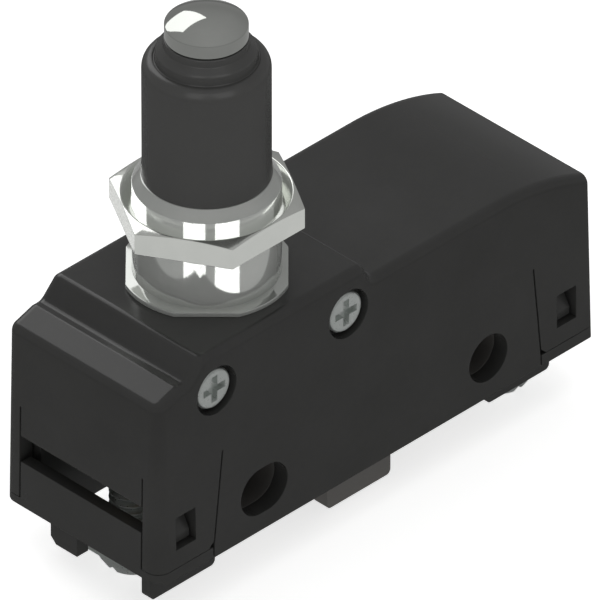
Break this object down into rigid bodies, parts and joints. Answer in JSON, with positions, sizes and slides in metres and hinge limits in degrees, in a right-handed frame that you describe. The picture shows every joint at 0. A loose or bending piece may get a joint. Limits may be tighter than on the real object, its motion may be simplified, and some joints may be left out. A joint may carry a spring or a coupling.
{
  "type": "micro switch",
  "caption": "Micro switch with a plunger head for panel mounting, rubber boot, lock nut, through mounting holes and screw terminals under clipped covers.",
  "frame": {"origin": "centre of the round mounting hole, on the middle plane", "axes": "+X along the housing away from the plunger end, +Y across it along the mounting holes, +Z towards the plunger"},
  "size_m": [0.0493, 0.0176, 0.0491],
  "materials": {
    "black_plastic": "moulded, fine satin",
    "base_plastic": "moulded, satin",
    "zinc": "cast zinc",
    "screw_steel": "zinc-plated steel",
    "nickel_brass": "nickel-plated, turned",
    "rubber": "smooth moulded rubber",
    "polished_steel": "polished stainless steel",
    "spring_steel": "bright spring wire",
    "silver_contact": "silver rivet",
    "brass": "stamped brass strip"
  },
  "bodies": {
    "body": {"housing": "black_plastic", "contact_base": "base_plastic", "terminal_cover_left": "black_plastic", "terminal_cover_right": "black_plastic", "head_bracket": "zinc", "side_screw_left": "screw_steel", "side_screw_right": "screw_steel", "bushing": "nickel_brass", "rubber_boot": "rubber", "return_spring": "spring_steel", "blade_anchor": "brass", "common_terminal": "brass", "closed_terminal": "brass", "open_terminal": "brass", "closed_contact": "silver_contact", "open_contact": "silver_contact", "clamp_screw_common": "screw_steel", "clamp_screw_closed": "screw_steel", "clamp_screw_open": "screw_steel", "clamp_plate_common": "screw_steel", "clamp_plate_closed": "screw_steel", "clamp_plate_open": "screw_steel"},
    "plunger": {"plunger_cap": "polished_steel", "piston": "polished_steel", "piston_seal": "rubber", "overtravel_spring": "spring_steel"},
    "pin": {"actuator_pin": "base_plastic"},
    "blade": {"snap_blade": "spring_steel", "moving_contact": "silver_contact"},
    "nut": {"lock_nut": "nickel_brass"}
  },
  "joints": [
    {"name": "plunger_slide", "type": "slide", "parent": "body", "child": "plunger", "axis": [0, 0, -1], "range_m": [0, 0.0055], "stiffness_N_per_m": 400, "springref_m": -0.002, "deforming": ["rubber_boot", "return_spring", "overtravel_spring"]},
    {"name": "pin_slide", "type": "slide", "parent": "body", "child": "pin", "axis": [0, 0, -1], "range_m": [0, 0.0005]},
    {"name": "blade_hinge", "type": "hinge", "parent": "body", "child": "blade", "pos_m": [-0.03445, 0, 0.0073], "axis": [0, 1, 0], "range_deg": [0, 2.53]},
    {"name": "nut_slide", "type": "slide", "parent": "body", "child": "nut", "axis": [0, 0, 1], "range_m": [-0.0051, 0.0011]}
  ],
  "couplings": [
    {"joint": "pin_slide", "follows": "plunger_slide", "ratio": 0.0909},
    {"joint": "blade_hinge", "follows": "plunger_slide", "rad_per_m": 8.01}
  ]
}
